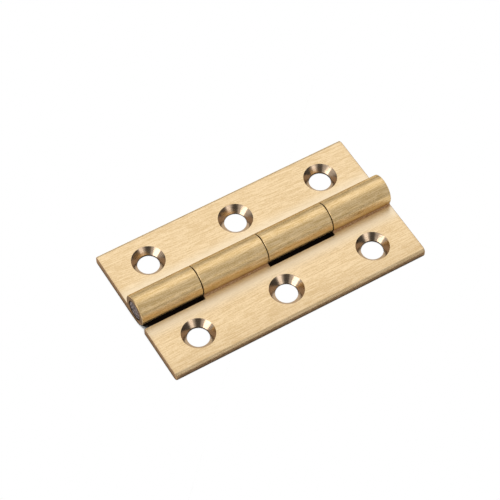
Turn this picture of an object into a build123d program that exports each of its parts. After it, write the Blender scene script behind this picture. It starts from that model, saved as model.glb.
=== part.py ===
"""Butt hinge: two brass leaves with interlocking knuckles on a steel pin.

Units are millimetres. X runs along the pin, +Y points to the rear leaf and
+Z points up from the backs of the leaves, which lie flat on z = 0. The
hinge is modelled opened flat, with the pin axis above the origin. The two
leaves are the same piece, the front one turned end for end, apart from the
bore: the rear leaf grips the pin and the front leaf runs on it.
"""

import math
import os

from build123d import *

# Driving dimensions: the leaves
LEAF_LENGTH = 50.0  # along the pin
OPEN_WIDTH = 28.0  # across both leaves, opened flat
LEAF_THICKNESS = 1.5
LONG_EDGE_RADIUS = 0.5  # rounding of the outer long edge, on the top face
CORNER_RADIUS = 0.3  # the two outer corners of a leaf, seen from above
EDGE_BREAK = 0.12  # small chamfer on the other edges of the top face

# Driving dimensions: the knuckles and the pin
KNUCKLE_DIAMETER = 5.6
AXIS_HEIGHT = 2.95  # pin axis above the back face of the leaves
OUTER_SEAM_OFFSET = 13.05  # from the middle seam to the seam on either side of it
PIN_DIAMETER = 3.6
ROOT_FILLET = 0.25  # hollow corner where a knuckle grows out of its leaf
ROOT_RELIEF = 1.0  # how far the slope under a knuckle runs into the leaf
KNUCKLE_CHAMFER = 0.08  # on the outer rim of each knuckle end
PIN_CHAMFER = 0.15
PIN_INSET = 0.05  # pin end below the face of the end knuckle

# Driving dimensions: the screw holes, three in each leaf
HOLE_PITCH = 17.5
HOLE_ROW_OFFSET = 8.6  # hole row to the pin axis
SCREW_HOLE_DIAMETER = 4.0
OUTER_SINK_DIAMETER = 6.0
MIDDLE_SINK_DIAMETER = 6.2
SINK_ANGLE = 82.0  # included angle of the countersink

# Clearances
SEAM_GAP = 0.16  # between the ends of two knuckles
NOTCH_CLEARANCE = 0.5  # from a leaf's notched edge to the other leaf's knuckles
RUNNING_CLEARANCE = 0.04  # radial, pin in the bore of the turning leaf
PRESS_CLEARANCE = 0.0  # radial, pin in the bore of the leaf that holds it

# Derived sizes
KNUCKLE_RADIUS = KNUCKLE_DIAMETER / 2
PIN_RADIUS = PIN_DIAMETER / 2
HALF_LENGTH = LEAF_LENGTH / 2
HALF_WIDTH = OPEN_WIDTH / 2
NOTCH_EDGE = KNUCKLE_RADIUS + NOTCH_CLEARANCE
LEAF_WIDTH = HALF_WIDTH - NOTCH_EDGE
CUT_MARGIN = 1.0  # how far a cutting tool runs past the faces that it cuts


def knuckle_spans():
    """Return the (start, end) positions along X of the rear leaf's two knuckles.

    The four knuckles of the hinge alternate from the left end: rear, front,
    rear, front. Turned end for end, the rear leaf's pair is the front leaf's.
    """
    outer = (-HALF_LENGTH, -OUTER_SEAM_OFFSET - SEAM_GAP / 2)
    inner = (SEAM_GAP / 2, OUTER_SEAM_OFFSET - SEAM_GAP / 2)
    return outer, inner


def plate_section():
    """Section of the flat plate, from the notched edge to the long edge."""
    with BuildSketch(Plane.YZ) as section:
        with BuildLine():
            Polyline(
                (NOTCH_EDGE, 0),
                (HALF_WIDTH, 0),
                (HALF_WIDTH, LEAF_THICKNESS - LONG_EDGE_RADIUS),
            )
            RadiusArc(
                (HALF_WIDTH, LEAF_THICKNESS - LONG_EDGE_RADIUS),
                (HALF_WIDTH - LONG_EDGE_RADIUS, LEAF_THICKNESS),
                -LONG_EDGE_RADIUS,
            )
            Polyline(
                (HALF_WIDTH - LONG_EDGE_RADIUS, LEAF_THICKNESS),
                (NOTCH_EDGE, LEAF_THICKNESS),
                (NOTCH_EDGE, 0),
            )
        make_face()
    return section.sketch


def root_section():
    """Section of the web that joins a knuckle to the plate.

    On the top face the web ends in a hollow fillet, tangent to the plate and
    to the knuckle. Underneath, a shallow slope leads from the back face of the
    plate to the lowest line of the knuckle.
    """
    fillet_centre_z = LEAF_THICKNESS + ROOT_FILLET
    reach = KNUCKLE_RADIUS + ROOT_FILLET
    drop = AXIS_HEIGHT - fillet_centre_z
    fillet_centre_y = math.sqrt(reach**2 - drop**2)
    touch_y = fillet_centre_y * KNUCKLE_RADIUS / reach
    touch_z = AXIS_HEIGHT - drop * KNUCKLE_RADIUS / reach
    web_end = fillet_centre_y + CUT_MARGIN
    with BuildSketch(Plane.YZ) as section:
        with BuildLine():
            Line((0, AXIS_HEIGHT), (touch_y, touch_z))
            RadiusArc((touch_y, touch_z), (fillet_centre_y, LEAF_THICKNESS), -ROOT_FILLET)
            Polyline(
                (fillet_centre_y, LEAF_THICKNESS),
                (web_end, LEAF_THICKNESS),
                (web_end, 0),
                (ROOT_RELIEF, 0),
                (0, AXIS_HEIGHT - KNUCKLE_RADIUS),
                (0, AXIS_HEIGHT),
            )
        make_face()
    return section.sketch


def along_x(section, start, end):
    """Extrude a section drawn on the YZ plane from one X position to another."""
    return Pos(start, 0, 0) * extrude(section, amount=end - start)


def x_cylinder(radius, start, end, chamfer_size=0.0):
    """Make a cylinder on the pin axis between two X positions."""
    middle = Pos((start + end) / 2, 0, AXIS_HEIGHT)
    body = middle * Rot(0, 90, 0) * Cylinder(radius, end - start)
    if chamfer_size > 0:
        body = chamfer(body.edges().filter_by(GeomType.CIRCLE), chamfer_size)
    return body


def screw_hole(position_x, sink_diameter):
    """Make the cutting tool for one countersunk screw hole of the rear leaf."""
    hole_radius = SCREW_HOLE_DIAMETER / 2
    sink_radius = sink_diameter / 2
    slope = math.tan(math.radians(SINK_ANGLE / 2))
    sink_depth = (sink_radius - hole_radius) / slope
    mouth_radius = sink_radius + CUT_MARGIN * slope
    with BuildSketch(Plane.XZ) as section:
        with BuildLine():
            Polyline(
                (0, -CUT_MARGIN),
                (hole_radius, -CUT_MARGIN),
                (hole_radius, LEAF_THICKNESS - sink_depth),
                (mouth_radius, LEAF_THICKNESS + CUT_MARGIN),
                (0, LEAF_THICKNESS + CUT_MARGIN),
                (0, -CUT_MARGIN),
            )
        make_face()
    tool = revolve(section.sketch, Axis.Z)
    return Pos(position_x, HOLE_ROW_OFFSET, 0) * tool


def make_plate():
    """Make the flat plate of the rear leaf, with its edges broken."""
    plate = along_x(plate_section(), -HALF_LENGTH, HALF_LENGTH)
    top = plate.faces().filter_by(Axis.Z).sort_by(Axis.Z)[-1]
    plate = chamfer(top.edges().filter_by(Axis.Y), EDGE_BREAK)
    outline_centre = Pos(0, HALF_WIDTH - LEAF_WIDTH / 2, 0)
    outline = outline_centre * Rectangle(LEAF_LENGTH, LEAF_WIDTH)
    outer_corners = outline.vertices().sort_by(Axis.Y)[-2:]
    outline = fillet(outer_corners, CORNER_RADIUS)
    return plate & extrude(outline, amount=LEAF_THICKNESS)


def make_leaf(bore_clearance):
    """Make the rear leaf with its knuckles, bore and screw holes."""
    leaf = make_plate()
    for start, end in knuckle_spans():
        leaf += along_x(root_section(), start, end)
        leaf += x_cylinder(KNUCKLE_RADIUS, start, end, KNUCKLE_CHAMFER)
    bore_end = HALF_LENGTH + CUT_MARGIN
    leaf -= x_cylinder(PIN_RADIUS + bore_clearance, -bore_end, bore_end)
    leaf -= screw_hole(-HOLE_PITCH, OUTER_SINK_DIAMETER)
    leaf -= screw_hole(0, MIDDLE_SINK_DIAMETER)
    leaf -= screw_hole(HOLE_PITCH, OUTER_SINK_DIAMETER)
    return leaf


def make_pin():
    """Make the full-length hinge pin with chamfered ends."""
    pin_end = HALF_LENGTH - PIN_INSET
    return x_cylinder(PIN_RADIUS, -pin_end, pin_end, PIN_CHAMFER)


rear_leaf = make_leaf(PRESS_CLEARANCE)
front_leaf = Rot(0, 0, 180) * make_leaf(RUNNING_CLEARANCE)
hinge_pin = make_pin()

os.makedirs("parts", exist_ok=True)
export_step(rear_leaf, "parts/rear_leaf.step")
export_step(front_leaf, "parts/front_leaf.step")
export_step(hinge_pin, "parts/hinge_pin.step")
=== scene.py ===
"""Looks of the brass butt hinge: its meshes, finishes, floor, lamps and camera.

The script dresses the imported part. Each leaf is milled again here as one clean
mesh with broken edges and gets four finishes: the brushed faces, the turned
countersinks, the cut edges, and the walls of the bore and the screw holes. The
pin is a steel rod with cropped ends. All sizes are in millimetres and all
angles in degrees unless a comment says otherwise.
"""

import logging
import math
from dataclasses import dataclass, field
from enum import Enum
from typing import Union

import bmesh
import bpy
from mathutils import Matrix, Vector, noise


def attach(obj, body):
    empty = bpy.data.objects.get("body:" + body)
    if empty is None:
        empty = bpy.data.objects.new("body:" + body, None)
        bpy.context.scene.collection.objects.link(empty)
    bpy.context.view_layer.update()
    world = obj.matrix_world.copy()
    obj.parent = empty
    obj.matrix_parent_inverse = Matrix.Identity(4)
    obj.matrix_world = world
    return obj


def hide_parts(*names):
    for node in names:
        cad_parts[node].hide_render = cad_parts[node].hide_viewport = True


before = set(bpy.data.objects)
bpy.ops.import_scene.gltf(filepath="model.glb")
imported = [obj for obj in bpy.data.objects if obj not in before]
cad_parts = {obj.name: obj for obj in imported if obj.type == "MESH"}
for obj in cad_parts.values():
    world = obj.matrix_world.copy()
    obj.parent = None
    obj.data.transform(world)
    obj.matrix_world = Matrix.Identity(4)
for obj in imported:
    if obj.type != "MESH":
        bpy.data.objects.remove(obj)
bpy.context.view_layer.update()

log = logging.getLogger("hinge")

MILLIMETRE = 0.001  # in metres
MIDDLE = 0.5  # of the range of a noise or a tone

# The Mix node's sockets for colours, whose names its other kinds share
MIX_FIRST, MIX_SECOND, MIX_RESULT = 6, 7, 2

# Directions in the YZ plane, from +Y towards +Z
UP, LEFT, DOWN = 90.0, 180.0, 270.0

Number = Union["Shade", float]
Colour = Union[tuple, bpy.types.NodeSocket]
FlatPoint = tuple[float, float]
Point = tuple[float, float, float]


class Side(Enum):
    """The two leaves, by the side of the pin that they lie on."""

    REAR = 1
    FRONT = -1


class Finish(Enum):
    """The finishes of a leaf, by their places in its list of materials."""

    BRUSHED = 0
    SINK = 1
    CUT = 2
    WALL = 3


class TurnAxis(Enum):
    """The axes that a blank can be turned about."""

    X = "x"
    Z = "z"


class LampRole(Enum):
    """What a lamp of the studio is there for."""

    KEY = "key"
    FILL = "fill"
    EDGE = "edge"


class Shade:
    """A value socket of a material, on which plain sums add Math nodes."""

    def __init__(self, recipe: "Recipe", socket: bpy.types.NodeSocket) -> None:
        """Wrap one output socket.

        Args:
            recipe: the recipe whose node tree the socket is in.
            socket: the output socket that holds the value.
        """
        self.recipe = recipe
        self.socket = socket

    def _math(self, operation: str, *values: Number) -> "Shade":
        """Add one Math node.

        Args:
            operation: the Math node's operation.
            values: its inputs in order.

        Returns:
            The node's result.
        """
        inputs = dict(enumerate(values))
        return self.recipe.value("ShaderNodeMath", {"operation": operation}, inputs)

    def __add__(self, other: Number) -> "Shade":
        """Return self + other."""
        return self._math("ADD", self, other)

    __radd__ = __add__

    def __mul__(self, other: Number) -> "Shade":
        """Return self * other."""
        return self._math("MULTIPLY", self, other)

    __rmul__ = __mul__

    def __sub__(self, other: Number) -> "Shade":
        """Return self - other."""
        return self._math("SUBTRACT", self, other)

    def __rsub__(self, other: float) -> "Shade":
        """Return other - self."""
        return self._math("SUBTRACT", other, self)

    def absolute(self) -> "Shade":
        """Return the value without its sign."""
        return self._math("ABSOLUTE", self)

    def clamped(self) -> "Shade":
        """Return the value held between 0 and 1."""
        return self.recipe.value("ShaderNodeClamp", {}, {"Value": self})

    def rise(self, low: float, high: float) -> "Shade":
        """Return 0 below low, 1 above high and a smooth step in between.

        Args:
            low: where the step starts.
            high: where the step ends.

        Returns:
            The smoothed step.
        """
        settings = {"interpolation_type": "SMOOTHSTEP"}
        inputs = {"Value": self, "From Min": low, "From Max": high}
        return self.recipe.value("ShaderNodeMapRange", settings, inputs)

    def fall(self, low: float, high: float) -> "Shade":
        """Return 1 below low, 0 above high and a smooth step in between.

        Args:
            low: where the step starts.
            high: where the step ends.

        Returns:
            The smoothed step.
        """
        return 1.0 - self.rise(low, high)


@dataclass(frozen=True)
class Pattern:
    """A fractal noise: its cells per millimetre along three axes, and its layers."""

    cells: tuple
    layers: float = 2.0
    layer_share: float = 0.6


class Recipe:
    """The node tree of a new material or world and the few ways of adding to it."""

    def __init__(self, name: str, shelf: str = "materials") -> None:
        """Start an empty node tree.

        Args:
            name: the name of what the tree belongs to.
            shelf: "materials" or "worlds".
        """
        self.holder = getattr(bpy.data, shelf).new(name)
        self.holder.use_nodes = True
        self.tree = self.holder.node_tree
        self.tree.nodes.clear()

    def node(self, kind: str, settings: dict, inputs: dict) -> bpy.types.Node:
        """Add a node, set its options and then its sockets.

        Args:
            kind: the node's type.
            settings: option name to value, set before the sockets.
            inputs: socket name or number to a value, a socket or a Shade.

        Returns:
            The new node.
        """
        made = self.tree.nodes.new(kind)
        for option, value in settings.items():
            setattr(made, option, value)
        for key, value in inputs.items():
            if isinstance(value, Shade):
                value = value.socket
            if isinstance(value, bpy.types.NodeSocket):
                self.tree.links.new(value, made.inputs[key])
            else:
                made.inputs[key].default_value = value
        return made

    def value(self, kind: str, settings: dict, inputs: dict, output: Union[int, str] = 0) -> Shade:
        """Add a node and return one of its outputs as a Shade.

        Args:
            kind: the node's type.
            settings: option name to value.
            inputs: socket name or number to value.
            output: the output's name or number.

        Returns:
            The output, ready for sums.
        """
        return Shade(self, self.node(kind, settings, inputs).outputs[output])

    def parts(self, vector: bpy.types.NodeSocket) -> tuple[Shade, ...]:
        """Split a vector into its three values."""
        split = self.node("ShaderNodeSeparateXYZ", {}, {0: vector})
        return tuple(Shade(self, output) for output in split.outputs)

    def place(self) -> tuple[Shade, ...]:
        """Add the nodes that say where a point lies on its object.

        Returns:
            The three coordinates in millimetres.
        """
        own = self.node("ShaderNodeTexCoord", {}, {}).outputs["Object"]
        inputs = {0: own, "Scale": 1 / MILLIMETRE}
        scaled = self.node("ShaderNodeVectorMath", {"operation": "SCALE"}, inputs)
        return self.parts(scaled.outputs[0])

    def heading(self) -> tuple[Shade, ...]:
        """Return the direction in which a world is looked at."""
        return self.parts(self.node("ShaderNodeTexCoord", {}, {}).outputs["Generated"])

    def noise(self, pattern: Pattern, *place: Shade) -> Shade:
        """Return fractal noise between 0 and 1.

        Args:
            pattern: the noise's cells and layers.
            place: where it is read, along the pattern's three axes.

        Returns:
            The noise value.
        """
        counted = {axis: value * pattern.cells[axis] for axis, value in enumerate(place)}
        inputs = {
            "Vector": self.node("ShaderNodeCombineXYZ", {}, counted).outputs[0],
            "Scale": 1.0,
            "Detail": pattern.layers,
            "Roughness": pattern.layer_share,
        }
        return self.value("ShaderNodeTexNoise", {}, inputs)

    def mixed(self, share: Shade, first: Colour, second: Colour) -> bpy.types.NodeSocket:
        """Mix two colours.

        Args:
            share: 0 for the first colour and 1 for the second.
            first: a colour or a colour socket.
            second: a colour or a colour socket.

        Returns:
            The mixed colour.
        """
        made = self.node("ShaderNodeMix", {"data_type": "RGBA"}, {"Factor": share})
        for number, value in ((MIX_FIRST, first), (MIX_SECOND, second)):
            if isinstance(value, bpy.types.NodeSocket):
                self.tree.links.new(value, made.inputs[number])
            else:
                made.inputs[number].default_value = (*value, 1.0)
        return made.outputs[MIX_RESULT]

    def metal(
        self, colour: Colour, roughness: Shade, height: Shade, depth: float, rim: tuple
    ) -> bpy.types.Material:
        """Close the recipe with a metal surface.

        Args:
            colour: the base colour.
            roughness: how dull the surface is.
            height: relief, 1 being one depth high.
            depth: the relief's height in millimetres.
            rim: the tint of the metal where it is seen at a flat angle.

        Returns:
            The finished material.
        """
        relief = {"Strength": 1.0, "Distance": depth * MILLIMETRE, "Height": height}
        inputs = {
            "Base Color": colour,
            "Metallic": 1.0,
            "Roughness": roughness,
            "Specular Tint": (*rim, 1.0),
            "Normal": self.node("ShaderNodeBump", {}, relief).outputs[0],
        }
        surface = self.node("ShaderNodeBsdfPrincipled", {}, inputs)
        self.node("ShaderNodeOutputMaterial", {}, {"Surface": surface.outputs[0]})
        return self.holder


@dataclass(frozen=True)
class BrushedBrass:
    """Satin brass, brushed along the pin with fine, nearly straight scratches.

    Besides its own tones and grain, its colour carries painted light: a painted
    warm reflection on the barrel, a painted sheen beside it, and painted shade on
    the long edges, the plate's ends, the lower rim of the knuckle ends and the crook.
    The pairs whose names end in across, along or up say where one look turns
    into the next. Across is measured from the pin axis, along from the pin's
    middle and up from the back of the leaf.
    """

    name: str
    brush_angle: float
    pale: tuple = (0.935, 0.722, 0.448)
    deep: tuple = (0.735, 0.53, 0.285)
    contrast: float = 7.0
    cloudiness: float = 0.5
    # painted reflection: a warmer, darker copy of the brass on the barrel, for the warm leaves it
    # reflects
    barrel_reflection_pale: tuple = (0.94, 0.70, 0.39)
    barrel_reflection_deep: tuple = (0.70, 0.48, 0.21)
    barrel_reflection_up: tuple = (1.6, 2.1)
    # painted sheen: paler brass beside the barrel, lifting the barrel's shade on the leaf
    barrel_sheen: tuple = (0.95, 0.81, 0.60)
    barrel_sheen_across: tuple = (3.6, 6.5)
    barrel_sheen_share: float = 0.7
    # painted shade: dark brass on the rounded long edge, a fade towards it and a darkening at the
    # plate's ends
    edge_shade_brass: tuple = (0.38, 0.235, 0.095)
    edge_shade_across: tuple = (13.2, 13.5)
    edge_shade_up: tuple = (0.95, 1.34)
    shade_fade_across: tuple = (9.0, 13.0)
    shade_fade_share: float = 0.16
    end_shade_along: tuple = (24.3, 25.0)
    end_shade_share: float = 0.15
    # painted shade on the lower part of the rim at the knuckle ends
    rim_shade_brass: tuple = (0.25, 0.17, 0.11)
    rim_shade_along: tuple = (24.86, 24.94)
    rim_shade_low_up: tuple = (1.6, 1.8)
    rim_shade_high_up: tuple = (3.4, 5.0)
    rim_shade_share: float = 0.55
    # painted shade: a dark, speckled band in the crook where a knuckle meets its plate
    crook_shade_brass: tuple = (0.50, 0.23, 0.065)
    crook_across: float = 2.70
    crook_up: float = 1.60
    crook_width: float = 0.58
    crook_shade_specks: tuple = (0.35, 0.60)
    crook_shade_least: float = 0.6
    crook_shade_share: float = 0.9
    rim: tuple = (0.68, 0.58, 0.41)
    fine: Pattern = Pattern((0.42, 6.5, 6.5))
    long: Pattern = Pattern((0.12, 3.2, 3.2), layer_share=0.5)
    speck: Pattern = Pattern((5.0, 5.0, 5.0))
    cloud: Pattern = Pattern((0.16, 0.16, 0.16), layer_share=0.5)
    grain_shares: tuple = (0.50, 0.16, 0.34)
    roughness: float = 0.37
    grain_dulls: float = 0.16
    crook_shade_dulls: float = 0.35
    relief: float = 0.0016

    def grain(self, recipe: Recipe, place: tuple[Shade, ...], speck: Shade) -> Shade:
        """Return the brush marks, from 0 to 1.

        Args:
            recipe: the material's recipe.
            place: where they are read.
            speck: the fine specks between them.

        Returns:
            The marks and specks together.
        """
        x, y, z = place
        turn = math.radians(self.brush_angle)
        along = x * math.cos(turn) + y * math.sin(turn)
        across = y * math.cos(turn) - x * math.sin(turn)
        fine = recipe.noise(self.fine, along, across, z)
        long = recipe.noise(self.long, along, across, z)
        fine_share, long_share, speck_share = self.grain_shares
        return fine * fine_share + long * long_share + speck * speck_share

    def clean(self, recipe: Recipe, place: tuple[Shade, ...], grain: Shade) -> Colour:
        """Return the colour of the faces, with painted shade on their edges and ends,
        a painted sheen beside the barrel and a painted warm reflection on the barrel.

        Args:
            recipe: the material's recipe.
            place: where the colour is read.
            grain: the brush marks there.

        Returns:
            The colour.
        """
        from_middle, from_pin, z = place[0].absolute(), place[1].absolute(), place[2]
        cloud = (recipe.noise(self.cloud, *place) - MIDDLE) * self.cloudiness
        tone = ((grain - MIDDLE) * self.contrast + cloud + MIDDLE).clamped()
        flat = recipe.mixed(tone, self.deep, self.pale)
        # painted sheen: the leaf is painted paler beside the barrel
        barrel_sheen = from_pin.fall(*self.barrel_sheen_across) * self.barrel_sheen_share
        flat = recipe.mixed(barrel_sheen, flat, self.barrel_sheen)
        # painted reflection: the barrel takes the warmer, darker copy of the brass
        barrel = recipe.mixed(tone, self.barrel_reflection_deep, self.barrel_reflection_pale)
        brass = recipe.mixed(z.rise(*self.barrel_reflection_up), flat, barrel)
        # painted shade on the rounded long edge, towards the long edge and at the plate's ends
        edge = from_pin.rise(*self.edge_shade_across) * z.fall(*self.edge_shade_up)
        fade = from_pin.rise(*self.shade_fade_across) * self.shade_fade_share
        end = from_middle.rise(*self.end_shade_along) * self.end_shade_share
        brass = recipe.mixed((edge + fade + end).clamped(), brass, self.edge_shade_brass)
        # painted shade: the lower part of the knuckle ends' rim is painted darker
        rim_shade = from_middle.rise(*self.rim_shade_along) * self.rim_shade_share
        rim_shade = rim_shade * z.rise(*self.rim_shade_low_up) * z.fall(*self.rim_shade_high_up)
        return recipe.mixed(rim_shade, brass, self.rim_shade_brass)

    def crook_shade(self, place: tuple[Shade, ...], speck: Shade) -> Shade:
        """Return the painted shade in the crook where a knuckle meets its plate.

        Args:
            place: where it is read.
            speck: the specks that break it up.

        Returns:
            How much painted shade the place gets, from 0 to 1.
        """
        from_line = (place[1].absolute() - self.crook_across).absolute()
        from_line = from_line + (place[2] - self.crook_up).absolute()
        broken = speck.rise(*self.crook_shade_specks) * (1.0 - self.crook_shade_least) + self.crook_shade_least
        return from_line.fall(0.0, self.crook_width) * broken

    def material(self) -> bpy.types.Material:
        """Make the material.

        Returns:
            The material.
        """
        recipe = Recipe(self.name)
        place = recipe.place()
        speck = recipe.noise(self.speck, *place)
        grain = self.grain(recipe, place, speck)
        crook_shade = self.crook_shade(place, speck)
        clean = self.clean(recipe, place, grain)
        # painted shade in the crook, broken by specks; it also makes the crook duller
        colour = recipe.mixed(crook_shade * self.crook_shade_share, clean, self.crook_shade_brass)
        dullness = (grain - MIDDLE) * self.grain_dulls + crook_shade * self.crook_shade_dulls + self.roughness
        return recipe.metal(colour, dullness, grain, self.relief, self.rim)


@dataclass(frozen=True)
class TurnedBrass:
    """Brass fresh from the countersink, brighter, with faint rings and chatter."""

    name: str = "turned_brass"
    pale: tuple = (0.84, 0.67, 0.49)
    deep: tuple = (0.39, 0.25, 0.155)
    rim: tuple = (0.74, 0.62, 0.48)
    rings: Pattern = Pattern((0.4, 0.4, 9.0))
    roughness: float = 0.16
    rings_dull: float = 0.1
    relief: float = 0.007

    def material(self) -> bpy.types.Material:
        """Make the material.

        Returns:
            The material.
        """
        recipe = Recipe(self.name)
        rings = recipe.noise(self.rings, *recipe.place())
        colour = recipe.mixed(rings, self.deep, self.pale)
        dullness = (rings - MIDDLE) * self.rings_dull + self.roughness
        return recipe.metal(colour, dullness, rings, self.relief, self.rim)


@dataclass(frozen=True)
class CutBrass:
    """The leaf's cut sides and knuckle ends: duller and browner than its faces.

    Their dark tone is partly the duller cut finish and partly painted shade for
    sides turned away from the light. The plate's own ends are painted lighter than
    its long edges, as painted light; its knuckle ends are greyer; and painted
    shade darkens them round the gap at the pin.
    """

    name: str = "cut_brass"
    # darker than the brushed faces: partly the duller cut finish, partly painted shade
    pale: tuple = (0.45, 0.30, 0.18)
    deep: tuple = (0.15, 0.088, 0.044)
    scores: Pattern = Pattern((1.2, 1.2, 5.0), layers=3.0)
    speck: Pattern = Pattern((5.0, 5.0, 5.0))
    speck_share: float = 0.5
    tone_marks: tuple = (0.35, 0.65)
    # painted light: the plate's ends are lighter than its long edges
    lit_plate_end: tuple = (0.65, 0.43, 0.27)
    lit_plate_end_along: tuple = (24.7, 24.9)
    lit_plate_end_share: float = 0.45
    knuckle_end: tuple = (0.22, 0.175, 0.155)
    knuckle_up: tuple = (1.6, 1.8)
    knuckle_share: float = 0.5
    # painted shade round the gap between the pin and the knuckle end
    gap_shade: tuple = (0.05, 0.035, 0.025)
    gap_shade_squares: tuple = (3.3, 4.1)
    gap_shade_share: float = 0.7
    pin_axis: float = 2.95
    rim: tuple = (0.70, 0.55, 0.40)
    roughness: float = 0.455
    marks_dull: float = 0.15
    relief: float = 0.006

    def material(self) -> bpy.types.Material:
        """Make the material.

        Returns:
            The material, its painted shade round the pin gap set by the squared distance from the
            pin axis.
        """
        recipe = Recipe(self.name)
        x, y, z = recipe.place()
        speck = recipe.noise(self.speck, x, y, z) * self.speck_share
        marks = recipe.noise(self.scores, x, y, z) * (1.0 - self.speck_share) + speck
        colour = recipe.mixed(marks.rise(*self.tone_marks), self.deep, self.pale)
        # painted light on the plate's ends
        at_end = x.absolute().rise(*self.lit_plate_end_along) * z.fall(*self.knuckle_up)
        colour = recipe.mixed(at_end * self.lit_plate_end_share, colour, self.lit_plate_end)
        on_knuckle = z.rise(*self.knuckle_up)
        colour = recipe.mixed(on_knuckle * self.knuckle_share, colour, self.knuckle_end)
        # painted shade: darker towards the gap at the pin
        height = z - self.pin_axis
        near_pin = (y * y + height * height).fall(*self.gap_shade_squares)
        colour = recipe.mixed(near_pin * self.gap_shade_share, colour, self.gap_shade)
        dullness = (marks - MIDDLE) * self.marks_dull + self.roughness
        return recipe.metal(colour, dullness, marks, self.relief, self.rim)


@dataclass(frozen=True)
class BoreBrass(CutBrass):
    """The walls of the bore and of the screw holes, dull and out of the light."""

    name: str = "bore_brass"
    pale: tuple = (0.22, 0.15, 0.09)
    deep: tuple = (0.10, 0.07, 0.05)


@dataclass(frozen=True)
class PinSteel:
    """Grey steel rod with small dents and dark specks on its cropped ends."""

    name: str = "pin_steel"
    pale: tuple = (0.42, 0.345, 0.32)
    deep: tuple = (0.05, 0.04, 0.035)
    rim: tuple = (0.62, 0.60, 0.62)
    specks: Pattern = Pattern((2.8, 2.8, 2.8), layers=3.0)
    tone_specks: tuple = (0.44, 0.54)
    # painted shade on the pin end's rim, next to the gap at the bore
    pin_gap_shade_squares: tuple = (2.3, 2.9)
    pin_gap_shade_tone: float = 0.2
    pin_axis: float = 2.95
    roughness: float = 0.42
    specks_dull: float = 0.2
    relief: float = 0.03

    def material(self) -> bpy.types.Material:
        """Make the material.

        Returns:
            The material, with painted shade on its rim next to the bore, set by the squared
            distance from the axis.
        """
        recipe = Recipe(self.name)
        x, y, z = recipe.place()
        specks = recipe.noise(self.specks, x, y, z)
        height = z - self.pin_axis
        # painted shade: the pin end is darker near its rim
        within = (y * y + height * height).fall(*self.pin_gap_shade_squares)
        level = within * (1.0 - self.pin_gap_shade_tone) + self.pin_gap_shade_tone
        colour = recipe.mixed(specks.rise(*self.tone_specks) * level, self.deep, self.pale)
        dullness = (specks - MIDDLE) * self.specks_dull + self.roughness
        return recipe.metal(colour, dullness, specks, self.relief, self.rim)


@dataclass(frozen=True)
class PaleFloor:
    """A plain white sweep that keeps the shadow where the hinge touches it.

    Seen straight or in metal the open floor is white. Near the hinge, where
    less of the room is in view, it gives way to matt paper with its shadow,
    and in metal sooner than seen straight. Where the floor is closed in, the
    paper's own colour is painted darker, a painted shadow. The pairs are shares
    of the room in view, between which one look turns into the next.
    """

    name: str = "pale_floor"
    paper: tuple = (0.95, 0.95, 0.95)
    # painted shadow: the paper's colour where the floor is closed in
    closed: tuple = (0.020, 0.013, 0.010)
    reach: float = 4.0
    samples: int = 16
    painted_shadow_view: tuple = (0.34, 0.90)
    white_view: tuple = (0.37, 0.50)
    metal_white_view: tuple = (0.55, 0.85)

    def openness(self, recipe: Recipe) -> Shade:
        """Measure how much of the room a place on the floor has in view.

        Args:
            recipe: the floor's recipe.

        Returns:
            0 where it is closed in and 1 on the open floor.
        """
        settings = {"samples": self.samples, "only_local": False}
        inputs = {"Distance": self.reach * MILLIMETRE}
        return recipe.value("ShaderNodeAmbientOcclusion", settings, inputs, "AO")

    def material(self) -> bpy.types.Material:
        """Make the material.

        Returns:
            The material.
        """
        recipe = Recipe(self.name)
        view = self.openness(recipe)
        path = recipe.node("ShaderNodeLightPath", {}, {}).outputs
        straight = Shade(recipe, path["Is Camera Ray"])
        in_metal = Shade(recipe, path["Is Glossy Ray"]) + Shade(recipe, path["Is Transmission Ray"])
        share = view.rise(*self.white_view) * straight
        share = share + view.rise(*self.metal_white_view) * in_metal
        # painted shadow: the paper darkens where less of the room is in view
        paper = recipe.mixed(view.rise(*self.painted_shadow_view), self.closed, self.paper)
        matt = recipe.node("ShaderNodeBsdfDiffuse", {}, {"Color": paper})
        white = recipe.node("ShaderNodeEmission", {}, {"Strength": 1.0})
        inputs = {0: share.clamped(), 1: matt.outputs[0], 2: white.outputs[0]}
        surface = recipe.node("ShaderNodeMixShader", {}, inputs)
        recipe.node("ShaderNodeOutputMaterial", {}, {"Surface": surface.outputs[0]})
        return recipe.holder


@dataclass(frozen=True)
class DarkPatch:
    """A soft dark place in the room: its direction, and cosines of its half-angles."""

    toward: tuple
    start: float
    core: float
    depth: float = 0.85

    def light_left(self, heading: tuple[Shade, ...]) -> Shade:
        """Return 1 away from the patch, falling softly towards its core.

        Args:
            heading: the direction in which the room is looked at.

        Returns:
            The factor on the room's light.
        """
        x, y, z = heading
        aim = x * self.toward[0] + y * self.toward[1] + z * self.toward[2]
        return 1.0 - aim.rise(self.start, self.core) * self.depth


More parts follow.
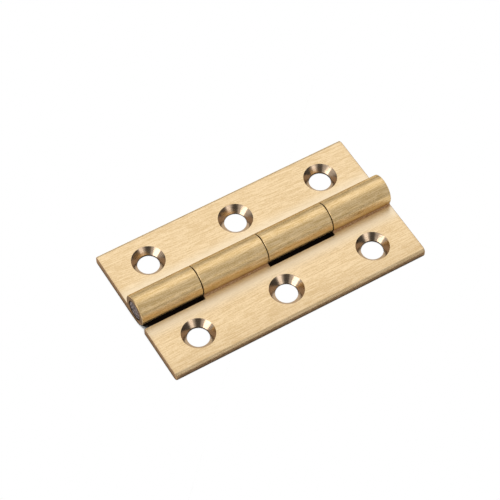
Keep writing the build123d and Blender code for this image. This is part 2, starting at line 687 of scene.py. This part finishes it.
@dataclass(frozen=True)
class Surround:
    """The room round the hinge: pale above, dim along the floor line.

    Two dark patches stand for the camera on its stand and for the open side of
    the room. Both are fixed in the room.
    """

    name: str = "surround"
    above: float = 0.62
    along_floor: float = 0.07
    brighter_up: tuple = (0.06, 0.27)
    patches: tuple = (
        DarkPatch(toward=(-0.434, -0.785, 0.445), start=0.93, core=0.985),
        DarkPatch(toward=(0.800, -0.581, 0.150), start=0.82, core=0.95),
    )

    def world(self) -> bpy.types.World:
        """Make the world.

        Returns:
            The world.
        """
        recipe = Recipe(self.name, "worlds")
        heading = recipe.heading()
        height = heading[2].rise(*self.brighter_up)
        level = height * (self.above - self.along_floor) + self.along_floor
        for patch in self.patches:
            level = level * patch.light_left(heading)
        colour = recipe.mixed(level, (0.0, 0.0, 0.0), (1.0, 1.0, 1.0))
        light = recipe.node("ShaderNodeBackground", {}, {"Color": colour, "Strength": 1.0})
        recipe.node("ShaderNodeOutputWorld", {}, {"Surface": light.outputs[0]})
        return recipe.holder


@dataclass(frozen=True)
class HingeSizes:
    """Sizes that the pieces of the hinge share."""

    leaf_length: float = 50.0
    open_width: float = 28.0
    thickness: float = 1.5
    knuckle_radius: float = 2.8
    axis_height: float = 2.95
    outer_seam: float = 13.05
    seam_gap: float = 0.16
    notch_clearance: float = 0.5
    pin_radius: float = 1.8

    @property
    def half_length(self) -> float:
        """Half the length along the pin."""
        return self.leaf_length / 2

    @property
    def half_width(self) -> float:
        """From the pin axis to a leaf's long edge."""
        return self.open_width / 2

    @property
    def notch_edge(self) -> float:
        """From the pin axis to a leaf's notched edge."""
        return self.knuckle_radius + self.notch_clearance


class Blank:
    """A closed mesh in millimetres that is cut to shape, then put in the scene."""

    def __init__(self, name: str, points: list[Point], faces: list[tuple[int, ...]]) -> None:
        """Make the blank.

        Args:
            name: the name of the piece.
            points: its corners.
            faces: tuples of point numbers.
        """
        mesh = bpy.data.meshes.new(name)
        mesh.from_pydata(points, [], faces)
        self.piece = bpy.data.objects.new(name, mesh)
        bpy.context.scene.collection.objects.link(self.piece)

    def turned_out(self) -> "Blank":
        """Make all faces look outward.

        Returns:
            The blank itself.
        """
        work = bmesh.new()
        work.from_mesh(self.piece.data)
        bmesh.ops.recalc_face_normals(work, faces=work.faces)
        work.to_mesh(self.piece.data)
        work.free()
        return self

    def cut(self, tool: "Blank") -> None:
        """Take the tool's volume away from the blank and scrap the tool.

        Args:
            tool: the volume to cut away.
        """
        step = self.piece.modifiers.new("cut", "BOOLEAN")
        step.operation = "DIFFERENCE"
        step.solver = "EXACT"
        step.object = tool.piece
        self._take(self._evaluated())
        tool.scrap()

    def _evaluated(self) -> bpy.types.Mesh:
        """Return the mesh as its modifiers leave it."""
        graph = bpy.context.evaluated_depsgraph_get()
        return bpy.data.meshes.new_from_object(self.piece.evaluated_get(graph), depsgraph=graph)

    def _take(self, mesh: bpy.types.Mesh) -> None:
        """Put a new mesh in place of the blank's own and drop its modifiers.

        Args:
            mesh: the new mesh, which gets the old one's name.
        """
        old, name = self.piece.data, self.piece.data.name
        self.piece.modifiers.clear()
        self.piece.data = mesh
        bpy.data.meshes.remove(old)
        mesh.name = name

    def scrap(self) -> None:
        """Remove the blank and its mesh."""
        mesh = self.piece.data
        bpy.data.objects.remove(self.piece)
        bpy.data.meshes.remove(mesh)

    def finished(
        self, crease: float = 28.0, weld: float = 0.0005, large_faces: int = 100
    ) -> bpy.types.Object:
        """Clean the mesh, set which edges stay sharp and bring it to metres.

        Args:
            crease: faces that meet at more than this angle keep a sharp edge.
            weld: points closer than this are joined.
            large_faces: how far they lead the shading, from 50 for evenly to 100.

        Returns:
            The finished piece.
        """
        work = bmesh.new()
        work.from_mesh(self.piece.data)
        bmesh.ops.remove_doubles(work, verts=work.verts, dist=weld)
        bmesh.ops.dissolve_degenerate(work, edges=work.edges, dist=weld)
        for face in work.faces:
            face.smooth = True
        for edge in work.edges:
            edge.smooth = edge.is_manifold and edge.calc_face_angle(0.0) < math.radians(crease)
        work.to_mesh(self.piece.data)
        work.free()
        self.piece.data.transform(Matrix.Scale(MILLIMETRE, 4))
        step = self.piece.modifiers.new("even_shading", "WEIGHTED_NORMAL")
        step.keep_sharp = True
        step.weight = large_faces
        self._take(self._evaluated())
        return self.piece


def circle(radius: float, steps: int) -> list[FlatPoint]:
    """Return points evenly round a circle about the origin."""
    angles = [2 * math.pi * step / steps for step in range(steps)]
    return [(radius * math.cos(angle), radius * math.sin(angle)) for angle in angles]


def arc(
    centre: FlatPoint, radius: float, start: float, end: float, steps: int
) -> list[FlatPoint]:
    """Return points on an arc in the YZ plane, both ends included.

    Args:
        centre: the arc's centre.
        radius: its radius.
        start: first angle, from +Y towards +Z.
        end: last angle.
        steps: number of pieces.

    Returns:
        The points in order.
    """
    y, z = centre
    angles = [math.radians(start + (end - start) * step / steps) for step in range(steps + 1)]
    return [(y + radius * math.cos(a), z + radius * math.sin(a)) for a in angles]


def loft(name: str, rings: list[list[Point]]) -> Blank:
    """Join rings of points, all with the same count, into a closed blank.

    Args:
        name: the name of the piece.
        rings: the rings in order, each one a closed loop.

    Returns:
        The blank, capped at both ends.
    """
    count = len(rings[0])
    points = [point for ring in rings for point in ring]
    faces = [tuple(range(count)), tuple(range((len(rings) - 1) * count, len(rings) * count))]
    for step in range(len(rings) - 1):
        low, high = step * count, (step + 1) * count
        for index in range(count):
            following = (index + 1) % count
            faces.append((low + index, low + following, high + following, high + index))
    return Blank(name, points, faces).turned_out()


def turned(
    name: str, profile: list[FlatPoint], axis: TurnAxis, centre: Point, steps: int
) -> Blank:
    """Turn a profile into a closed round blank.

    Args:
        name: the name of the piece.
        profile: (distance along the axis, radius) pairs from one end to the other.
        axis: the axis that it turns about.
        centre: the point where the axis distance is 0.
        steps: how many flats make the round.

    Returns:
        The blank, capped at both ends.
    """
    rings = []
    for along, radius in profile:
        ring = []
        for u, v in circle(radius, steps):
            offset = (along, u, v) if axis is TurnAxis.X else (u, v, along)
            ring.append(tuple(start + move for start, move in zip(centre, offset)))
        rings.append(ring)
    return loft(name, rings)


def turned_ring(name: str, section: list[FlatPoint], height: float, steps: int) -> Blank:
    """Turn a closed section about the pin axis into a ring.

    Args:
        name: the name of the piece.
        section: (place along the pin, radius) pairs in order.
        height: the height of the pin axis.
        steps: how many flats make the round.

    Returns:
        The closed ring.
    """
    count = len(section)
    rounds = [[(x, y, height + z) for y, z in circle(out, steps)] for x, out in section]
    points = [point for across in zip(*rounds) for point in across]
    faces = []
    for step in range(steps):
        low, high = count * step, count * ((step + 1) % steps)
        for corner in range(count):
            following = (corner + 1) % count
            faces.append((low + corner, low + following, high + following, high + corner))
    return Blank(name, points, faces).turned_out()


def box_blank(name: str, low: Point, high: Point) -> Blank:
    """Make a box between two corners."""
    ring = [(low[1], low[2]), (high[1], low[2]), (high[1], high[2]), (low[1], high[2])]
    return loft(name, [[(x, y, z) for y, z in ring] for x in (low[0], high[0])])


@dataclass(frozen=True)
class FaceLimits:
    """What tells a leaf's faces apart: lengths, and parts of a face's normal."""

    near_edge: float = 0.02
    round_hole: float = 0.1
    flat_normal: float = 0.98
    sloping_normal: float = 0.3
    inside_barrel: float = 0.3
    above_plate: float = 0.2
    end_normal: float = 0.5
    knuckle_end_normal: float = 0.85


@dataclass
class Leaf:
    """One leaf: a drawn section milled out for the other leaf's knuckles.

    Both are made as the rear leaf, and the front one is then turned end for end.
    Each tool runs past the faces that it cuts.
    """

    side: Side
    brushed: bpy.types.Material
    turned_sink: bpy.types.Material
    cut_face: bpy.types.Material
    wall: bpy.types.Material
    sizes: HingeSizes = field(default_factory=HingeSizes)
    limits: FaceLimits = field(default_factory=FaceLimits)
    long_edge_depth: float = 0.5
    long_edge_reach: float = 0.62
    long_edge_steps: int = 10
    corner_radius: float = 0.3
    corner_stations: tuple = (1.0, 0.75, 0.5)
    corner_slack: float = 0.01
    edge_break: float = 0.1
    knuckle_chamfer: float = 0.08
    chamfer_overlap: float = 0.06
    root_fillet: float = 0.25
    root_fillet_steps: int = 8
    root_relief: float = 1.0
    hole_pitch: float = 17.5
    hole_offset: float = 8.6
    hole_radius: float = 2.0
    sink_radii: tuple = (3.0, 3.1, 3.0)
    sink_angle: float = 82.0
    rim_break: float = 0.05
    bore_clearance: float = 0.01
    flats: int = 96
    past: float = 1.0

    @property
    def node_name(self) -> str:
        """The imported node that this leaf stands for."""
        return "rear_leaf" if self.side is Side.REAR else "front_leaf"

    @property
    def body_name(self) -> str:
        """The moving body that this leaf rides on."""
        return "rear" if self.side is Side.REAR else "front"

    def knuckle_spans(self) -> list[tuple[float, float]]:
        """Return where the rear leaf's knuckles start and end along the pin."""
        s, gap = self.sizes, self.sizes.seam_gap / 2
        return [(-s.half_length, -s.outer_seam - gap), (gap, s.outer_seam - gap)]

    def section(self) -> list[FlatPoint]:
        """Return the drawn section, knuckle and plate in one closed loop.

        Returns:
            The barrel, the underside, the long edge and the hollow root in order.
        """
        s, fillet = self.sizes, self.root_fillet
        reach = s.knuckle_radius + fillet
        rise = s.thickness + fillet
        foot = math.sqrt(reach**2 - (s.axis_height - rise) ** 2)
        lean = math.degrees(math.atan2(rise - s.axis_height, foot))
        barrel_steps = self.flats * 3 // 4
        barrel = arc((0.0, s.axis_height), s.knuckle_radius, lean, DOWN, barrel_steps)
        hollow = arc((foot, rise), fillet, DOWN, LEFT + lean, self.root_fillet_steps)
        edge = [
            (
                s.half_width - self.long_edge_reach * (1.0 - y),
                s.thickness - self.long_edge_depth * (1.0 - z),
            )
            for y, z in arc((0.0, 0.0), 1.0, 0.0, UP, self.long_edge_steps)
        ]
        under = [
            (self.root_relief, 0.0),
            (s.half_width - self.edge_break, 0.0),
            (s.half_width, self.edge_break),
        ]
        return barrel + under + edge + hollow[:-1]

    def ring(self, x: float, inset: float) -> list[Point]:
        """Return the section at one place along the pin.

        Args:
            x: the place along the pin.
            inset: how far the section is drawn in, for a broken edge.

        Returns:
            The ring of points, pulled in along the long edge near a corner.
        """
        s, loop = self.sizes, self.section()
        into_corner = max(0.0, self.corner_radius - (s.half_length - abs(x)))
        pull = self.corner_radius - math.sqrt(max(0.0, self.corner_radius**2 - into_corner**2))
        edge_start = s.half_width - self.long_edge_reach - self.corner_slack
        points = []
        for index, (y, z) in enumerate(loop):
            before, after = loop[index - 1], loop[(index + 1) % len(loop)]
            run = Vector((after[0] - before[0], after[1] - before[1])).normalized()
            y_in, z_in = y - run.y * inset, z + run.x * inset
            if y > edge_start:
                y_in -= pull
            points.append((x, y_in, z_in))
        return points

    def drawn_bar(self) -> Blank:
        """Return the drawn section, cut to length.

        Returns:
            The bar, with its edges broken and its outer corners rounded.
        """
        end, small = self.sizes.half_length, self.edge_break
        inner = [end - self.corner_radius * share for share in self.corner_stations]
        inner.append(end - small)
        stations = [(-end, small)] + [(-x, 0.0) for x in reversed(inner)]
        stations += [(x, 0.0) for x in inner] + [(end, small)]
        return loft(self.node_name + "_brass", [self.ring(x, inset) for x, inset in stations])

    def mill_notches(self, bar: Blank) -> None:
        """Clear the room that the other leaf's knuckles need.

        Args:
            bar: the drawn bar.
        """
        s, past = self.sizes, self.past
        outer, inner = self.knuckle_spans()
        high = 2 * s.axis_height + past
        for start, end in ((outer[1], inner[0]), (inner[1], s.half_length + past)):
            bar.cut(box_blank("notch", (start, -s.half_width, -past), (end, s.notch_edge, high)))

    def break_knuckle_ends(self, bar: Blank) -> None:
        """Take the sharp rim off the knuckle ends that meet a seam.

        Args:
            bar: the bar with its notches.
        """
        s, over = self.sizes, self.chamfer_overlap
        under = -self.knuckle_chamfer - over
        outer, inner = self.knuckle_spans()
        for end, way in ((outer[1], 1), (inner[0], -1), (inner[1], 1)):
            section = [
                (end + way * along, s.knuckle_radius + out)
                for along, out in ((over, under), (over, over), (under, over))
            ]
            bar.cut(turned_ring("rim", section, s.axis_height, self.flats))

    def drill(self, bar: Blank) -> None:
        """Bore the knuckles and drill and countersink the screw holes.

        Args:
            bar: the milled bar.
        """
        s, past = self.sizes, self.past
        reach = s.half_length + past
        bore = s.pin_radius + self.bore_clearance
        on_axis = (0.0, 0.0, s.axis_height)
        bar.cut(turned("bore", [(-reach, bore), (reach, bore)], TurnAxis.X, on_axis, self.flats))
        slope = math.tan(math.radians(self.sink_angle / 2))
        for index, sink in enumerate(self.sink_radii):
            depth = (sink - self.hole_radius) / slope
            profile = [
                (-past, self.hole_radius),
                (s.thickness - depth, self.hole_radius),
                (s.thickness - self.rim_break, sink - self.rim_break * slope),
                (s.thickness + past, sink + past + self.rim_break),
            ]
            centre = ((index - 1) * self.hole_pitch, self.hole_offset, 0.0)
            bar.cut(turned("hole", profile, TurnAxis.Z, centre, self.flats))

    def finish_of(self, face: bpy.types.MeshPolygon) -> Finish:
        """Return which finish a face gets.

        Args:
            face: a face of the rear leaf in metres.

        Returns:
            The finish, by where the face lies and which way it looks.
        """
        s, limits = self.sizes, self.limits
        x, y, z = (value / MILLIMETRE for value in face.center)
        along, upward = abs(face.normal.x), abs(face.normal.z)
        nearest = round(x / self.hole_pitch) * self.hole_pitch
        from_hole = math.hypot(x - nearest, y - self.hole_offset)
        if from_hole < max(self.sink_radii) + limits.round_hole and upward < limits.flat_normal:
            return Finish.SINK if upward > limits.sloping_normal else Finish.WALL
        from_axis = math.hypot(y, z - s.axis_height)
        if from_axis < s.knuckle_radius - limits.inside_barrel and along < limits.end_normal:
            return Finish.WALL
        on_barrel = y < s.notch_edge and z > s.thickness + limits.above_plate
        if along > (limits.knuckle_end_normal if on_barrel else limits.end_normal):
            return Finish.CUT
        if y > s.half_width - limits.near_edge or abs(y - s.notch_edge) < limits.near_edge:
            return Finish.CUT
        return Finish.BRUSHED

    def build(self) -> bpy.types.Object:
        """Make the leaf, give it its finishes and set it on its body.

        Returns:
            The leaf.
        """
        bar = self.drawn_bar()
        self.mill_notches(bar)
        self.break_knuckle_ends(bar)
        self.drill(bar)
        leaf = bar.finished()
        leaf.data.materials.clear()
        for material in (self.brushed, self.turned_sink, self.cut_face, self.wall):
            leaf.data.materials.append(material)
        for face in leaf.data.polygons:
            face.material_index = self.finish_of(face).value
        if self.side is Side.FRONT:
            leaf.data.transform(Matrix.Rotation(math.pi, 4, "Z"))
        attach(leaf, self.body_name)
        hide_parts(self.node_name)
        return leaf


@dataclass
class HingePin:
    """The steel pin, cropped at both ends and pressed home.

    The dents of its ends are noise, read in one plane for each end.
    """

    steel: bpy.types.Material
    sizes: HingeSizes = field(default_factory=HingeSizes)
    inset: float = 0.05
    chamfer: float = 0.15
    dent_depth: float = 0.05
    dent_size: float = 0.35
    dent_plane: float = 7.3
    dent_growth: float = 6.0
    flats: int = 72
    end_rings: int = 9

    def dent(self, y: float, z: float, end: int) -> float:
        """Return how deep the cropped end is dented at one point."""
        place = Vector((y / self.dent_size, z / self.dent_size, self.dent_plane * end))
        return self.dent_depth * (1.0 + noise.noise(place)) / 2

    def end_ring(self, radius: float, end: int) -> list[Point]:
        """Return one ring of a cropped end's face.

        Args:
            radius: the ring's radius.
            end: -1 for the left end and 1 for the right one.

        Returns:
            The ring of points, with no dents at the pin's rim.
        """
        s, ring = self.sizes, []
        share = min(1.0, self.dent_growth * (1.0 - radius / s.pin_radius))
        for y, z in circle(radius, self.flats):
            depth = self.dent(y, z, end) * share
            ring.append((end * (s.half_length - self.inset - depth), y, s.axis_height + z))
        return ring

    def shaft_ring(self, x: float) -> list[Point]:
        """Return one full ring of the shaft."""
        s = self.sizes
        return [(x, y, s.axis_height + z) for y, z in circle(s.pin_radius, self.flats)]

    def build(self) -> bpy.types.Object:
        """Make the pin and set it on the rear leaf's body.

        Returns:
            The pin.
        """
        s = self.sizes
        face_radius = s.pin_radius - self.chamfer
        radii = [face_radius * (index + 1) / self.end_rings for index in range(self.end_rings)]
        shoulder = s.half_length - self.inset - self.chamfer
        rings = [self.end_ring(radius, -1) for radius in radii]
        rings += [self.shaft_ring(-shoulder), self.shaft_ring(shoulder)]
        rings += [self.end_ring(radius, 1) for radius in reversed(radii)]
        pin = loft("hinge_pin_steel", rings).finished()
        pin.data.materials.append(self.steel)
        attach(pin, "rear")
        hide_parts("hinge_pin")
        return pin


def direction(azimuth: float, elevation: float) -> Vector:
    """Return the direction from the hinge to a lamp or the camera.

    Args:
        azimuth: 0 is the front leaf's side and 90 the right end of the pin.
        elevation: the angle above the floor.

    Returns:
        A vector of length 1.
    """
    a, e = math.radians(azimuth), math.radians(elevation)
    return Vector((math.sin(a) * math.cos(e), -math.cos(a) * math.cos(e), math.sin(e)))


@dataclass(frozen=True)
class Lamp:
    """One soft rectangular lamp of the studio."""

    role: LampRole
    azimuth: float
    elevation: float
    width: float
    height: float
    radiance: float
    distance: float = 600.0

    def build(self) -> bpy.types.Object:
        """Make the lamp, aimed at the hinge.

        Returns:
            The lamp.
        """
        back = direction(self.azimuth, self.elevation)
        data = bpy.data.lights.new(self.role.value + "_lamp", "AREA")
        data.shape = "RECTANGLE"
        data.size = self.width * MILLIMETRE
        data.size_y = self.height * MILLIMETRE
        data.energy = self.radiance * data.size * data.size_y * math.pi
        lamp = bpy.data.objects.new(self.role.value + "_lamp", data)
        lamp.location = back * self.distance * MILLIMETRE
        lamp.rotation_mode = "QUATERNION"
        lamp.rotation_quaternion = back.to_track_quat("Z", "Y")
        bpy.context.scene.collection.objects.link(lamp)
        return lamp


@dataclass
class Studio:
    """The floor, the lamps and the light of the room around them."""

    floor_size: float = 6000.0
    floor_drop: float = 0.02
    floor: PaleFloor = field(default_factory=PaleFloor)
    surround: Surround = field(default_factory=Surround)
    lamps: tuple = (
        Lamp(LampRole.KEY, azimuth=156.0, elevation=57.5, width=620.0, height=520.0, radiance=0.55),
        Lamp(LampRole.FILL, azimuth=12.0, elevation=26.0, width=220.0, height=110.0, radiance=1.05),
        Lamp(LampRole.EDGE, azimuth=-84.0, elevation=21.0, width=360.0, height=150.0, radiance=2.3),
    )

    def lay_floor(self) -> None:
        """Lay the floor just below the hinge."""
        half = self.floor_size * MILLIMETRE / 2
        mesh = bpy.data.meshes.new("floor")
        corners = [(-half, -half, 0), (half, -half, 0), (half, half, 0), (-half, half, 0)]
        mesh.from_pydata(corners, [], [(0, 1, 2, 3)])
        mesh.materials.append(self.floor.material())
        floor = bpy.data.objects.new("floor", mesh)
        floor.location.z = -self.floor_drop * MILLIMETRE
        bpy.context.scene.collection.objects.link(floor)

    def build(self) -> None:
        """Lay the floor, hang the lamps and set the world."""
        self.lay_floor()
        for lamp in self.lamps:
            lamp.build()
            log.info("lamp %s", lamp.role.value)
        bpy.context.scene.world = self.surround.world()


@dataclass
class Shot:
    """The camera, at the photograph's viewing angle and framing.

    It is aimed at the hinge, then moved a little to the left and up without
    turning. The clip distances are in metres.
    """

    azimuth: float = -31.725
    elevation: float = 55.613
    roll: float = 0.934
    distance: float = 366.94
    to_left: float = 1.865
    to_top: float = 1.411
    lens: float = 152.06
    sensor: float = 36.0
    clip_start: float = 0.01
    clip_end: float = 50.0

    def build(self) -> bpy.types.Object:
        """Make the camera and make it the scene's own.

        Returns:
            The camera.
        """
        back, r = direction(self.azimuth, self.elevation), math.radians(self.roll)
        level_right = Vector((0, 0, 1)).cross(back).normalized()
        level_up = back.cross(level_right)
        right = level_right * math.cos(r) + level_up * math.sin(r)
        up = level_up * math.cos(r) - level_right * math.sin(r)
        data = bpy.data.cameras.new("photo_camera")
        data.lens = self.lens
        data.sensor_width = self.sensor
        data.clip_start = self.clip_start
        data.clip_end = self.clip_end
        camera = bpy.data.objects.new("photo_camera", data)
        place = (back * self.distance - right * self.to_left + up * self.to_top) * MILLIMETRE
        turn = Matrix((right, up, back)).transposed().to_4x4()
        camera.matrix_world = Matrix.Translation(place) @ turn
        bpy.context.scene.collection.objects.link(camera)
        bpy.context.scene.camera = camera
        return camera


def main() -> None:
    """Dress the hinge, then set the studio and the camera."""
    logging.basicConfig(level=logging.INFO, format="%(message)s")
    bpy.context.scene.view_settings.view_transform = "Standard"
    # The rear leaf's painted edge shade sits lower and has no painted fade; the front leaf's
    # painted sheen is paler.
    rear = BrushedBrass(
        "brushed_brass_rear", brush_angle=-3.5, edge_shade_up=(0.8, 1.1), shade_fade_share=0.0
    )
    front = BrushedBrass(
        "brushed_brass_front", brush_angle=0.5, barrel_sheen=(0.98, 0.86, 0.66)
    )
    brushed = {Side.REAR: rear.material(), Side.FRONT: front.material()}
    sink, cut, wall = TurnedBrass().material(), CutBrass().material(), BoreBrass().material()
    for side in Side:
        leaf = Leaf(side, brushed[side], sink, cut, wall).build()
        log.info("%s: %d faces", leaf.name, len(leaf.data.polygons))
    pin = HingePin(PinSteel().material()).build()
    log.info("%s: %d faces", pin.name, len(pin.data.polygons))
    Studio().build()
    Shot().build()


if __name__ == "__main__":
    main()
